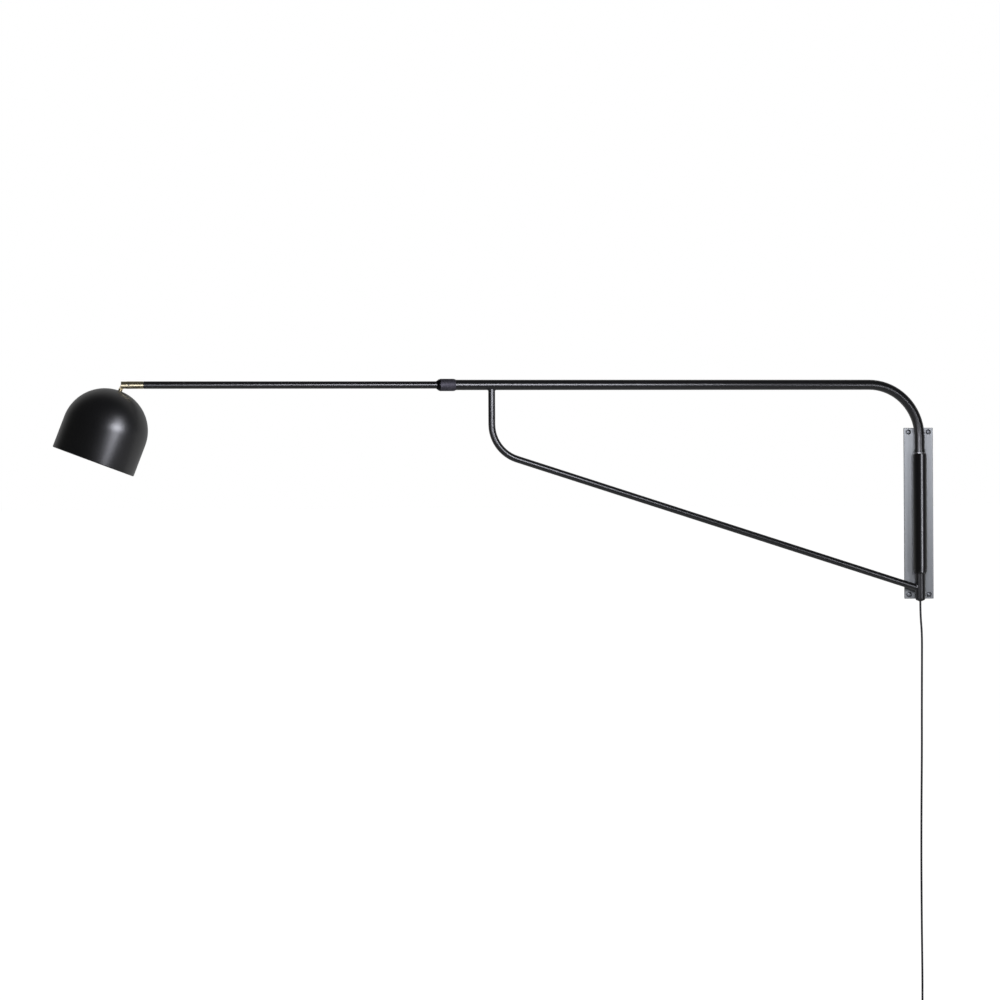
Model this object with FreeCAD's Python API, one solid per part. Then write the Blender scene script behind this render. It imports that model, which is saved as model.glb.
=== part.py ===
import FreeCAD, Part
import math
import os

# Swing-arm wall lamp with a telescopic arm. Millimetres, +Z up, +X to the right.
# The origin is the centre of the wall plate's back face: the wall is the plane Y = 0
# and the lamp stands out of it towards -Y.
# Everything past the post is built in the arm's own plane, with the arm along -X,
# and is then turned about the post to the rest angle.

V = FreeCAD.Vector
UP = V(0, 0, 1)
DOWN = V(0, 0, -1)
OUT = V(-1, 0, 0)
FRONT = V(0, -1, 0)
BACK = V(0, 1, 0)

# Clearances
RUNNING = 0.05        # radial, between a shaft and its bore
AIR = 0.3             # between curved pieces that pass each other
SHOULDER_GAP = 0.2    # axial, between faces that turn past each other

# Wall plate and its screws
PLATE_WIDTH = 70.0
PLATE_HEIGHT = 410.0
PLATE_THICKNESS = 4.0
PLATE_CORNER = 1.5
PLATE_CHAMFER = 0.8
SCREW_FROM_SIDE = 11.0
SCREW_FROM_END = 10.0
SCREW_RADIUS = 2.5
SCREW_NECK_RADIUS = 2.2
SCREW_REACH = 36.0
SCREW_POINT = 5.0
SCREW_TIP_RADIUS = 0.4
SCREW_HEAD_RADIUS = 6.2
SCREW_HEAD_HEIGHT = 3.4
SCREW_HEAD_RIM = 0.9
SCREW_HOLE_CLEARANCE = 0.3
RECESS_LENGTH = 5.6
RECESS_WIDTH = 1.3
RECESS_DEPTH = 2.0

# Arm tube: post and outer arm in one bent tube
TUBE_RADIUS = 12.0
TUBE_WALL = 1.5
POST_BELOW_BRACE = 22.7
BEND_ABOVE_RING = 29.0
ARM_BEND = 125.5
ARM_LENGTH = 1138.0
SWING_AT_REST = 10.0

# Bearing sleeve on the plate, with its bushes
SLEEVE_ABOVE_END = 72.0
SLEEVE_LENGTH = 273.0
SLEEVE_WALL = 2.5
SLEEVE_FLAT = 0.5
BUSH_WALL = 1.95
BUSH_DEPTH = 40.0
UPPER_FLANGE = 4.0
LOWER_FLANGE = 11.0
UPPER_FLANGE_CHAMFER = 1.5
LOWER_FLANGE_CHAMFER = 3.5
FLANGE_GROOVE = 1.0
WELD_LEG = 5.5
WELD_TOE = 1.6
WELD_ROOT = 1.0
THRUST_WASHER = 1.5
STOP_RING_WALL = 1.5
STOP_RING_HEIGHT = 8.0

# Brace tube
BRACE_RADIUS = 8.0
BRACE_WALL = 1.2
BRACE_FROM_END = 99.5
BRACE_BEND = 85.0
BRACE_BELOW_BUSH = 36.3
BRACE_SLOPE = 17.88
BRACE_WELD = 3.0
BRACE_STUB = 40.0

# Cap in the lower end of the post, cord outlet and set screw
CAP_DOME = 5.5
CAP_LAND = 5.0
CAP_SPIGOT = 14.0
CAP_BULGE_DEPTH = 4.0
CAP_BULGE_RADIUS = 10.0
OUTLET_RADIUS = 4.6
OUTLET_LIP_RADIUS = 5.6
OUTLET_LIP = 1.2
OUTLET_LIP_CHAMFER = 0.6
SET_SCREW_RADIUS = 1.5
SET_SCREW_LENGTH = 4.5
CAP_SCREW_UP = 5.0
CAP_SCREW_TURN = 47.0

# Slide tube, its rear guide and its travel
SLIDE_RADIUS = 8.5
SLIDE_WALL = 1.25
SLIDE_SHOWN = 698.0
SLIDE_TAIL = 2.5
GUIDE_LENGTH = 30.0
GUIDE_STOP_GAP = 0.5

# Collet and lock collar
COLLET_SPIGOT = 25.0
COLLET_FLANGE = 3.0
COLLET_THREAD = 12.0
COLLET_NOSE = 8.0
COLLET_NOSE_DROP = 1.6
COLLET_SLOTS = 4
COLLET_SLOT_WIDTH = 1.2
COLLET_SLOT_DEPTH = 17.0
COLLAR_RADIUS = 14.25
COLLAR_OVERLAP = 14.3
COLLAR_REAR_TAPER = 4.5
COLLAR_REAR_DROP = 1.2
COLLAR_NOSE = 6.0
COLLAR_NOSE_WALL = 0.7
COLLAR_NOSE_STEP = 0.2
COLLAR_GROOVE_WIDTH = 1.8
COLLAR_GROOVE_DEPTH = 1.0

# Swivel: plug in the slide tube, brass ferrule on its spigot
PLUG_DEPTH = 20.0
PLUG_FLANGE = 0.6
PLUG_FLANGE_DROP = 0.6
SPIGOT_RADIUS = 5.0
SPIGOT_BORE = 3.0
SPIGOT_TIP = 3.2
SPIGOT_GROOVE_DEPTH = 1.0
SPIGOT_GROOVE_WIDTH = 3.4
FERRULE_LENGTH = 50.0
FERRULE_CHAMFER = 0.5
FORK_SLOT_WIDTH = 5.2
FORK_SLOT_DEPTH = 12.5
FORK_FLOOR = 1.0
PIN_RADIUS = 2.0
PIN_FROM_END = 6.0
PIN_INSET = 0.3
SWIVEL_SCREW_FROM_END = 17.0

# Knuckle, in the shade's own frame: pin at the origin, shade axis down along -Z
KNUCKLE_THICKNESS = 5.0
KNUCKLE_EYE = 5.0
KNUCKLE_OFFSET = 2.6
NECK_RADIUS = 4.5
NECK_START = 10.8
NECK_LENGTH = 4.5
SHANK_RADIUS = 3.0
SHANK_BORE = 1.8
SHANK_LENGTH = 20.0
SHADE_TILT = 20.9

# Shade
SHADE_RADIUS = 96.0
SHADE_SKIRT = 74.5
SHADE_WALL = 1.0
SHADE_FLAT_RADIUS = 7.0
SHADE_RIM_LIP = 1.6
SHADE_HOLE_CLEARANCE = 0.2
WASHER_RADIUS = 6.6
WASHER_THICKNESS = 1.2
NUT_ACROSS_FLATS = 10.0
NUT_THICKNESS = 5.0

# Lamp holder and bulb
HOLDER_RADIUS = 20.0
HOLDER_WALL = 2.5
HOLDER_CAP_GAP = 0.4
HOLDER_CAP_SHOULDER = 11.0
HOLDER_CAP_LENGTH = 26.0
HOLDER_CAP_TOP_RADIUS = 9.0
HOLDER_CAP_CROWN = 3.8
HOLDER_BODY_LENGTH = 32.0
HOLDER_FLOOR = 3.0
HOLDER_JOINT = 5.0
SHELL_RADIUS = 14.0
SHELL_WALL = 0.5
SHELL_LENGTH = 24.0
CONTACT_RADIUS = 4.0
CONTACT_THICKNESS = 1.5
BASE_RADIUS = 13.2
BASE_LENGTH = 24.0
BASE_TAPER = 4.8
THREAD_PITCH = 3.6
THREAD_TURNS = 5
THREAD_START = 0.6
THREAD_HALF_WIDTH = 1.2
THREAD_DEPTH = 0.7
GLASS_NECK_RADIUS = 15.0
GLASS_NECK_LENGTH = 18.0
GLASS_RADIUS = 30.0
GLASS_SHOULDER = 30.0
GLASS_WALL = 0.8
GLASS_NECK_PULL = 12.0
GLASS_END_PULL = 15.0

# Leads inside the tubes, and the supply cord
CORD_RADIUS = 2.5
LEAD_OFFSET = 3.6
LEAD_OVERLAP = 30.0
LEAD_CENTRING = 45.0
LEAD_DROP = 36.0
CORD_CORNER_SHARE = 0.45
# Route of the hanging cord below its outlet: (to the right, down)
CORD_ROUTE = [
    (0.0, 34.0),
    (3.6, 76.0),
    (3.2, 142.0),
    (2.2, 262.0),
    (1.9, 362.0),
    (0.2, 482.0),
    (-0.9, 622.0),
    (-0.5, 782.0),
    (0.4, 892.0),
    (0.2, 947.0),
    (0.0, 985.0),
]
CORD_LAST_TURN = 30.0
CORD_LAST_RUN = 22.0

# Coil of the cord that the photograph doesn't reach, its tie, and the plug
COIL_MID_RADIUS = 27.5
COIL_LAYERS = 4
COIL_TURNS_PER_LAYER = 2
COIL_PITCH = 6.2
COIL_LAYER_PITCH = 6.2
COIL_CLIMB_QUARTERS = 2
COIL_START_ANGLE = 120.0
COIL_END_ANGLE = 180.0
TIE_ANGLE = 40.0
TIE_WIDTH = 11.0
TIE_THICKNESS = 1.0
TIE_CLEARANCE = 0.3
TAIL_ROUTE = [(0.0, 16.0), (5.0, 36.0), (5.0, 52.0)]
PLUG_WIDTH = 26.0
PLUG_BODY_DEPTH = 17.0
PLUG_LENGTH = 30.0
PLUG_ROUNDING = 4.0
RELIEF_LENGTH = 13.0
RELIEF_TOP_RADIUS = 3.6
RELIEF_BASE_RADIUS = 5.5
RELIEF_GROOVES = 3
RELIEF_GROOVE_PITCH = 3.4
RELIEF_GROOVE_WIDTH = 1.4
RELIEF_CORE_RADIUS = 3.1
GRIP_RIBS = 5
GRIP_RIB_PITCH = 3.2
GRIP_RIB_RADIUS = 1.0
GRIP_RIB_RISE = 0.5
GRIP_RIB_LENGTH = 12.0
BLADE_SPACING = 12.7
BLADE_WIDTH = 6.35
BLADE_THICKNESS = 1.5
BLADE_LENGTH = 16.0
BLADE_HOLE_RADIUS = 1.6
BLADE_HOLE_FROM_TIP = 4.0

# Sizes that follow from the ones above
TUBE_BORE = TUBE_RADIUS - TUBE_WALL
BUSH_BORE = TUBE_RADIUS + RUNNING
BUSH_RADIUS = BUSH_BORE + BUSH_WALL
SLEEVE_RADIUS = BUSH_RADIUS + SLEEVE_WALL
SLEEVE_BOTTOM = SLEEVE_ABOVE_END - PLATE_HEIGHT / 2
SLEEVE_TOP = SLEEVE_BOTTOM + SLEEVE_LENGTH
WASHER_HEIGHT = SLEEVE_TOP + UPPER_FLANGE
STOP_RING_BOTTOM = WASHER_HEIGHT + THRUST_WASHER
ARM_HEIGHT = STOP_RING_BOTTOM + STOP_RING_HEIGHT + BEND_ABOVE_RING + ARM_BEND
BRACE_FOOT = SLEEVE_BOTTOM - LOWER_FLANGE - BRACE_BELOW_BUSH
BRACE_REACH = ARM_LENGTH - BRACE_FROM_END
POST_BOTTOM = BRACE_FOOT - POST_BELOW_BRACE
FLANGE_RADIUS = SLEEVE_RADIUS - SLEEVE_FLAT - SHOULDER_GAP
POST_Y = -(PLATE_THICKNESS + SLEEVE_RADIUS - SLEEVE_FLAT)
SLIDE_BORE = SLIDE_RADIUS - SLIDE_WALL
SLIDE_FRONT = ARM_LENGTH + SLIDE_SHOWN
COLLET_REAR = ARM_LENGTH - COLLET_SPIGOT
COLLET_FRONT = ARM_LENGTH + COLLET_FLANGE + COLLET_THREAD + COLLET_NOSE
GUIDE_FRONT = COLLET_REAR - GUIDE_STOP_GAP
SLIDE_REAR = GUIDE_FRONT - GUIDE_LENGTH - SLIDE_TAIL
COLLAR_REAR = ARM_LENGTH - COLLAR_OVERLAP
COLLAR_FRONT = COLLET_FRONT + AIR + COLLAR_NOSE
FERRULE_REAR = SLIDE_FRONT + PLUG_FLANGE + SHOULDER_GAP
FERRULE_FRONT = FERRULE_REAR + FERRULE_LENGTH
PIN_REACH = FERRULE_FRONT - PIN_FROM_END
SWIVEL_SCREW_REACH = FERRULE_FRONT - SWIVEL_SCREW_FROM_END
SPIGOT_FRONT = SWIVEL_SCREW_REACH + SPIGOT_TIP
SHADE_TOP = NECK_START + NECK_LENGTH
SHADE_SPHERE = SHADE_TOP + math.sqrt(SHADE_RADIUS ** 2 - SHADE_FLAT_RADIUS ** 2)
SHADE_RIM = SHADE_SPHERE + SHADE_SKIRT
WASHER_TOP = SHADE_TOP + SHADE_WALL
NUT_TOP = WASHER_TOP + WASHER_THICKNESS
HOLDER_TOP = NUT_TOP + NUT_THICKNESS + HOLDER_CAP_GAP
HOLDER_SEAM = HOLDER_TOP + HOLDER_CAP_LENGTH
SHELL_TOP = HOLDER_SEAM + HOLDER_FLOOR
CONTACT_FRONT = SHELL_TOP + CONTACT_THICKNESS
BASE_FRONT = CONTACT_FRONT + BASE_LENGTH
OUTLET_FACE = POST_BOTTOM - CAP_DOME - OUTLET_LIP


# ---------------------------------------------------------------- helpers

def rod(radius, start, direction, length):
    return Part.makeCylinder(radius, length, start, direction)


def ring(outer, inner, start, direction, length):
    return rod(outer, start, direction, length).cut(rod(inner, start, direction, length))


def block(low, high):
    size = high - low
    return Part.makeBox(size.x, size.y, size.z, low)


def turned(edges, origin, direction):
    """Solid turned about an axis; the outline is in (along the axis, 0, radius)."""
    face = Part.Face(Part.Wire(Part.__sortEdges__(edges)))
    solid = face.revolve(V(0, 0, 0), V(1, 0, 0), 360)
    solid.Placement = FreeCAD.Placement(origin, FreeCAD.Rotation(V(1, 0, 0), direction))
    return solid


def outline(points):
    """Closed outline of straight edges through (along, radius) points."""
    corners = [V(along, 0, radius) for along, radius in points]
    return [line(a, b) for a, b in zip(corners, corners[1:] + corners[:1])]


def line(start, end):
    return Part.LineSegment(start, end).toShape()


def arc(start, corner, end):
    """Arc from start to end, tangent to the lines that meet at corner."""
    middle = (start + end) * 0.5
    rise = corner - middle
    half_chord = (end - start).Length / 2
    radius = (corner - start).Length * half_chord / rise.Length
    sagitta = radius - math.sqrt(max(radius ** 2 - half_chord ** 2, 0.0))
    return Part.Arc(start, middle + rise * (sagitta / rise.Length), end).toShape()


def rounded_path(points, radii):
    """Straight runs between the points, joined by tangent arcs of the given radii."""
    edges = []
    here = points[0]
    for before, corner, after, radius in zip(points, points[1:], points[2:], radii):
        arriving = (corner - before).normalize()
        leaving = (after - corner).normalize()
        reach = radius * math.tan(arriving.getAngle(leaving) / 2)
        arc_start = corner - arriving * reach
        arc_end = corner + leaving * reach
        edges.append(line(here, arc_start))
        edges.append(arc(arc_start, corner, arc_end))
        here = arc_end
    edges.append(line(here, points[-1]))
    return Part.Wire(edges)


def swept(path, radius):
    first = path.Edges[0]
    tangent = first.tangentAt(first.FirstParameter)
    circle = Part.Wire([Part.makeCircle(radius, first.Vertexes[0].Point, tangent)])
    return path.makePipeShell([circle], True, False)


def corner_radii(points):
    """The largest arcs that a cord's runs allow."""
    radii = []
    for before, corner, after in zip(points, points[1:], points[2:]):
        shorter = min((corner - before).Length, (after - corner).Length)
        turn = (corner - before).getAngle(after - corner)
        radii.append(CORD_CORNER_SHARE * shorter / math.tan(turn / 2))
    return radii


def on_arm(reach, rise=0.0):
    """A point on the arm's axis, at a distance from the post, in the arm's own plane."""
    return V(-reach, POST_Y, ARM_HEIGHT + rise)


def on_post(height):
    return V(0, POST_Y, height)


def swung(shape):
    """Turns a shape built in the arm's plane to the rest angle."""
    return shape.rotated(V(0, POST_Y, 0), UP, SWING_AT_REST)


def tilted(shape):
    """Hangs a shape built in the shade's own frame on the pivot pin."""
    hung = shape.rotated(V(0, 0, 0), V(0, 1, 0), SHADE_TILT)
    return swung(hung.translated(on_arm(PIN_REACH)))


def shade_turned(edges):
    """Solid turned about the shade's axis; the outline is in (depth, 0, radius)."""
    return turned(edges, V(-KNUCKLE_OFFSET, 0, 0), DOWN)


# ---------------------------------------------------------------- wall side

def screw_places():
    side = PLATE_WIDTH / 2 - SCREW_FROM_SIDE
    end = PLATE_HEIGHT / 2 - SCREW_FROM_END
    return [(-side, end), (side, end), (-side, -end), (side, -end)]


def wall_plate():
    low = V(-PLATE_WIDTH / 2, -PLATE_THICKNESS, -PLATE_HEIGHT / 2)
    plate = block(low, V(PLATE_WIDTH / 2, 0, PLATE_HEIGHT / 2))
    upright = [edge for edge in plate.Edges if abs(edge.tangentAt(0).y) > 0.5]
    plate = plate.makeFillet(PLATE_CORNER, upright)
    front = [edge for edge in plate.Edges if edge.BoundBox.YMax < -PLATE_THICKNESS + 0.01]
    plate = plate.makeChamfer(PLATE_CHAMFER, front)
    for x, z in screw_places():
        hole = rod(SCREW_RADIUS + SCREW_HOLE_CLEARANCE, V(x, 0, z), FRONT, PLATE_THICKNESS)
        plate = plate.cut(hole)
    return plate


def wall_screw(x, z):
    """Pan head with a cross recess, plain neck in the plate, thread and point in the wall."""
    face = -PLATE_THICKNESS
    rise = SCREW_HEAD_HEIGHT - SCREW_HEAD_RIM
    crown_radius = (SCREW_HEAD_RADIUS ** 2 + rise ** 2) / (2 * rise)
    half = SCREW_HEAD_RADIUS / 2
    half_rise = math.sqrt(crown_radius ** 2 - half ** 2) - (crown_radius - rise)
    rim = V(SCREW_HEAD_RIM, 0, SCREW_HEAD_RADIUS)
    crown = V(SCREW_HEAD_HEIGHT, 0, 0)
    head = turned([
        line(V(0, 0, 0), V(0, 0, SCREW_HEAD_RADIUS)),
        line(V(0, 0, SCREW_HEAD_RADIUS), rim),
        Part.Arc(rim, V(SCREW_HEAD_RIM + half_rise, 0, half), crown).toShape(),
        line(crown, V(0, 0, 0)),
    ], V(x, face, z), FRONT)
    neck = rod(SCREW_NECK_RADIUS, V(x, face, z), BACK, PLATE_THICKNESS)
    thread_length = SCREW_REACH - SCREW_POINT
    thread = rod(SCREW_RADIUS, V(x, 0, z), BACK, thread_length)
    point = Part.makeCone(SCREW_RADIUS, SCREW_TIP_RADIUS, SCREW_POINT,
                          V(x, thread_length, z), BACK)
    screw = head.fuse([neck, thread, point])
    top = face - SCREW_HEAD_HEIGHT
    for across, along in ((RECESS_LENGTH, RECESS_WIDTH), (RECESS_WIDTH, RECESS_LENGTH)):
        low = V(x - across / 2, top, z - along / 2)
        screw = screw.cut(block(low, V(x + across / 2, top + RECESS_DEPTH, z + along / 2)))
    return screw.removeSplitter()


def bearing_sleeve():
    sleeve = ring(SLEEVE_RADIUS, BUSH_RADIUS, on_post(SLEEVE_BOTTOM), UP, SLEEVE_LENGTH)
    behind = block(V(-SLEEVE_RADIUS, -PLATE_THICKNESS, SLEEVE_BOTTOM),
                   V(SLEEVE_RADIUS, 0, SLEEVE_TOP))
    return sleeve.cut(behind)


def sleeve_weld(side):
    """Weld bead in the corner between sleeve and plate, on one side of the sleeve."""
    half_flat = math.sqrt(SLEEVE_RADIUS ** 2 - (SLEEVE_RADIUS - SLEEVE_FLAT) ** 2)
    toe = half_flat + WELD_LEG + WELD_TOE
    root = half_flat - WELD_ROOT
    back = -PLATE_THICKNESS
    crown_x = half_flat + WELD_LEG
    crown_y = POST_Y + math.sqrt(SLEEVE_RADIUS ** 2 - crown_x ** 2)
    corners = [(root, back), (toe, back), (crown_x, crown_y), (root, crown_y)]
    points = [V(side * x, y, SLEEVE_BOTTOM) for x, y in corners]
    face = Part.Face(Part.makePolygon(points + points[:1]))
    bead = face.extrude(V(0, 0, SLEEVE_LENGTH))
    return bead.cut(rod(SLEEVE_RADIUS, on_post(SLEEVE_BOTTOM), UP, SLEEVE_LENGTH))


def upper_bush():
    return turned(outline([
        (-BUSH_DEPTH, BUSH_BORE),
        (-BUSH_DEPTH, BUSH_RADIUS),
        (0, BUSH_RADIUS),
        (0, FLANGE_RADIUS),
        (UPPER_FLANGE - UPPER_FLANGE_CHAMFER, FLANGE_RADIUS),
        (UPPER_FLANGE, FLANGE_RADIUS - UPPER_FLANGE_CHAMFER),
        (UPPER_FLANGE, BUSH_BORE),
    ]), on_post(SLEEVE_TOP), UP)


def lower_bush():
    return turned(outline([
        (-BUSH_DEPTH, BUSH_BORE),
        (-BUSH_DEPTH, BUSH_RADIUS),
        (0, BUSH_RADIUS),
        (0, FLANGE_RADIUS - FLANGE_GROOVE),
        (FLANGE_GROOVE, FLANGE_RADIUS - FLANGE_GROOVE),
        (FLANGE_GROOVE, FLANGE_RADIUS),
        (LOWER_FLANGE - LOWER_FLANGE_CHAMFER, FLANGE_RADIUS),
        (LOWER_FLANGE, FLANGE_RADIUS - LOWER_FLANGE_CHAMFER),
        (LOWER_FLANGE, BUSH_BORE),
    ]), on_post(SLEEVE_BOTTOM), DOWN)


def thrust_washer():
    start = on_post(WASHER_HEIGHT)
    return ring(TUBE_RADIUS + STOP_RING_WALL, TUBE_RADIUS + AIR, start, UP, THRUST_WASHER)


# ---------------------------------------------------------------- arm

def arm_path(start_height, end_reach, rise=0.0):
    """Up the post, round the bend and out along the arm; rise sets the run off the axis."""
    corner = V(0, POST_Y, ARM_HEIGHT + rise)
    return rounded_path([on_post(start_height), corner, on_arm(end_reach, rise)],
                        [ARM_BEND + rise])


def cap_screw_direction():
    turn = math.radians(CAP_SCREW_TURN)
    return V(-math.sin(turn), -math.cos(turn), 0)


def cap_screw_axis():
    """Start, direction and length of the cap's set screw, from the tube's face inwards."""
    outward = cap_screw_direction()
    start = on_post(POST_BOTTOM + CAP_SCREW_UP) + outward * (TUBE_RADIUS - AIR)
    return start, outward * -1


def arm_tube():
    path = arm_path(POST_BOTTOM, ARM_LENGTH)
    tube = swept(path, TUBE_RADIUS).cut(swept(path, TUBE_BORE))
    start, inward = cap_screw_axis()
    hole = rod(SET_SCREW_RADIUS, start - inward * TUBE_WALL, inward, TUBE_WALL * 3)
    return tube.cut(hole)


def stop_ring():
    start = on_post(STOP_RING_BOTTOM)
    return ring(TUBE_RADIUS + STOP_RING_WALL, TUBE_RADIUS, start, UP, STOP_RING_HEIGHT)


def brace_path():
    rise = BRACE_REACH * math.tan(math.radians(BRACE_SLOPE))
    points = [on_arm(BRACE_REACH), V(-BRACE_REACH, POST_Y, BRACE_FOOT + rise), on_post(BRACE_FOOT)]
    return rounded_path(points, [BRACE_BEND])


def brace_tube():
    path = brace_path()
    bore = swept(path, BRACE_RADIUS - BRACE_WALL)
    brace = swept(path, BRACE_RADIUS).cut(bore)
    return brace.cut([arm_core(), post_core()])


def brace_weld(carrier, foot, direction):
    """Fillet bead round an end of the brace, in its corner with the tube that carries it."""
    stub = rod(BRACE_RADIUS, foot, direction, BRACE_STUB)
    joined = carrier.fuse(stub)
    seam = [edge for edge in joined.Edges if edge.Curve.TypeId == "Part::GeomBSplineCurve"]
    return joined.makeFillet(BRACE_WELD, seam).cut([carrier, stub])


def upper_brace_weld():
    return brace_weld(arm_core(), on_arm(BRACE_REACH), DOWN)


def lower_brace_weld():
    slope = math.radians(BRACE_SLOPE)
    return brace_weld(post_core(), on_post(BRACE_FOOT), V(-math.cos(slope), 0, math.sin(slope)))


def arm_core():
    return rod(TUBE_RADIUS, on_arm(0), OUT, ARM_LENGTH)


def post_core():
    return rod(TUBE_RADIUS, on_post(POST_BOTTOM), UP, ARM_HEIGHT - POST_BOTTOM)


def post_cap():
    """Domed cap: spigot in the tube, land against its end, hole for the cord outlet."""
    rim = V(0, 0, TUBE_RADIUS)
    shoulder = V(CAP_DOME, 0, CAP_LAND + OUTLET_LIP)
    bulge = V(CAP_BULGE_DEPTH, 0, CAP_BULGE_RADIUS)
    cap = turned([
        line(V(-CAP_SPIGOT, 0, OUTLET_RADIUS), V(-CAP_SPIGOT, 0, TUBE_BORE)),
        line(V(-CAP_SPIGOT, 0, TUBE_BORE), V(0, 0, TUBE_BORE)),
        line(V(0, 0, TUBE_BORE), rim),
        Part.Arc(rim, bulge, shoulder).toShape(),
        line(shoulder, V(CAP_DOME, 0, OUTLET_RADIUS)),
        line(V(CAP_DOME, 0, OUTLET_RADIUS), V(-CAP_SPIGOT, 0, OUTLET_RADIUS)),
    ], on_post(POST_BOTTOM), DOWN)
    start, inward = cap_screw_axis()
    return cap.cut(rod(SET_SCREW_RADIUS, start, inward, SET_SCREW_LENGTH))


def cap_screw():
    start, inward = cap_screw_axis()
    screw = rod(SET_SCREW_RADIUS, start, inward, SET_SCREW_LENGTH)
    socket = rod(SET_SCREW_RADIUS / 2, start, inward, SET_SCREW_LENGTH / 3)
    return screw.cut(socket)


def cord_outlet():
    """Rubber bush in the cap, with a lip below, round the cord."""
    return turned(outline([
        (-CAP_SPIGOT, CORD_RADIUS),
        (-CAP_SPIGOT, OUTLET_RADIUS),
        (CAP_DOME, OUTLET_RADIUS),
        (CAP_DOME, OUTLET_LIP_RADIUS),
        (CAP_DOME + OUTLET_LIP - OUTLET_LIP_CHAMFER, OUTLET_LIP_RADIUS),
        (CAP_DOME + OUTLET_LIP, OUTLET_LIP_RADIUS - OUTLET_LIP_CHAMFER),
        (CAP_DOME + OUTLET_LIP, CORD_RADIUS),
    ]), on_post(POST_BOTTOM), DOWN)


def arm_lead():
    """Lead in the arm: up the post and along the floor of the tube, into the slide tube."""
    path = arm_path(OUTLET_FACE, SLIDE_REAR + LEAD_OVERLAP, -LEAD_OFFSET)
    return swept(path, CORD_RADIUS)


# ---------------------------------------------------------------- lock collar and slide

def collet():
    """Spigot in the arm tube, thread for the collar and a slotted, tapered nose."""
    thread_end = ARM_LENGTH + COLLET_FLANGE + COLLET_THREAD
    bore = SLIDE_RADIUS + RUNNING
    body = turned(outline([
        (COLLET_REAR, bore),
        (COLLET_REAR, TUBE_BORE),
        (ARM_LENGTH, TUBE_BORE),
        (ARM_LENGTH, TUBE_RADIUS),
        (thread_end, TUBE_RADIUS),
        (COLLET_FRONT, TUBE_RADIUS - COLLET_NOSE_DROP),
        (COLLET_FRONT, bore),
    ]), on_arm(0), OUT)
    for index in range(COLLET_SLOTS):
        slot = block(V(-COLLET_FRONT - 1, POST_Y - COLLET_SLOT_WIDTH / 2, ARM_HEIGHT),
                     V(-COLLET_FRONT + COLLET_SLOT_DEPTH, POST_Y + COLLET_SLOT_WIDTH / 2,
                       ARM_HEIGHT + TUBE_RADIUS + 1))
        turn = 360.0 * (index + 0.5) / COLLET_SLOTS
        body = body.cut(slot.rotated(on_arm(0), V(1, 0, 0), turn))
    return body


def lock_collar():
    """Plain grip with a tapered nose and a groove behind it."""
    inner = TUBE_RADIUS + RUNNING
    thread_end = ARM_LENGTH + COLLET_FLANGE + COLLET_THREAD
    nose = COLLAR_FRONT - COLLAR_NOSE
    tip_bore = SLIDE_RADIUS + AIR
    groove = nose - COLLAR_GROOVE_WIDTH
    return turned(outline([
        (COLLAR_REAR, inner),
        (COLLAR_REAR, COLLAR_RADIUS - COLLAR_REAR_DROP),
        (COLLAR_REAR + COLLAR_REAR_TAPER, COLLAR_RADIUS),
        (groove, COLLAR_RADIUS),
        (groove, COLLAR_RADIUS - COLLAR_GROOVE_DEPTH),
        (nose, COLLAR_RADIUS - COLLAR_GROOVE_DEPTH),
        (nose + COLLAR_NOSE_STEP, COLLAR_RADIUS - COLLAR_GROOVE_DEPTH / 2),
        (COLLAR_FRONT, tip_bore + COLLAR_NOSE_WALL),
        (COLLAR_FRONT, tip_bore),
        (nose, tip_bore),
        (nose, inner - COLLET_NOSE_DROP),
        (thread_end, inner),
    ]), on_arm(0), OUT)


def slide_tube():
    return ring(SLIDE_RADIUS, SLIDE_BORE, on_arm(SLIDE_REAR), OUT, SLIDE_FRONT - SLIDE_REAR)


def rear_guide():
    start = on_arm(GUIDE_FRONT - GUIDE_LENGTH)
    return ring(TUBE_BORE - RUNNING, SLIDE_RADIUS, start, OUT, GUIDE_LENGTH)


def swivel_plug():
    """Plug in the slide tube, thin flange on its end and the spigot that the ferrule turns on."""
    shoulder = SLIDE_FRONT + PLUG_FLANGE
    groove_rear = SWIVEL_SCREW_REACH - SPIGOT_GROOVE_WIDTH / 2
    groove_front = SWIVEL_SCREW_REACH + SPIGOT_GROOVE_WIDTH / 2
    groove_radius = SPIGOT_RADIUS - SPIGOT_GROOVE_DEPTH
    return turned(outline([
        (SLIDE_FRONT - PLUG_DEPTH, SPIGOT_BORE),
        (SLIDE_FRONT - PLUG_DEPTH, SLIDE_BORE),
        (SLIDE_FRONT, SLIDE_BORE),
        (SLIDE_FRONT, SLIDE_RADIUS - PLUG_FLANGE_DROP),
        (shoulder, SLIDE_RADIUS - PLUG_FLANGE_DROP),
        (shoulder, SPIGOT_RADIUS),
        (groove_rear, SPIGOT_RADIUS),
        (groove_rear, groove_radius),
        (groove_front, groove_radius),
        (groove_front, SPIGOT_RADIUS),
        (SPIGOT_FRONT, SPIGOT_RADIUS),
        (SPIGOT_FRONT, SPIGOT_BORE),
    ]), on_arm(0), OUT)


def slide_lead():
    """Lead in the slide tube: along its roof, then down to the spigot's bore."""
    roof_end = SLIDE_FRONT - PLUG_DEPTH - LEAD_CENTRING
    points = [
        on_arm(SLIDE_REAR, LEAD_OFFSET),
        on_arm(roof_end, LEAD_OFFSET),
        on_arm(roof_end + LEAD_DROP, 0),
        on_arm(SPIGOT_FRONT, 0),
    ]
    return swept(rounded_path(points, corner_radii(points)), CORD_RADIUS)


# ---------------------------------------------------------------- ferrule

def swivel_screw_axis():
    start = on_arm(SWIVEL_SCREW_REACH) + FRONT * (SLIDE_RADIUS - AIR)
    return start, BACK


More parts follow.
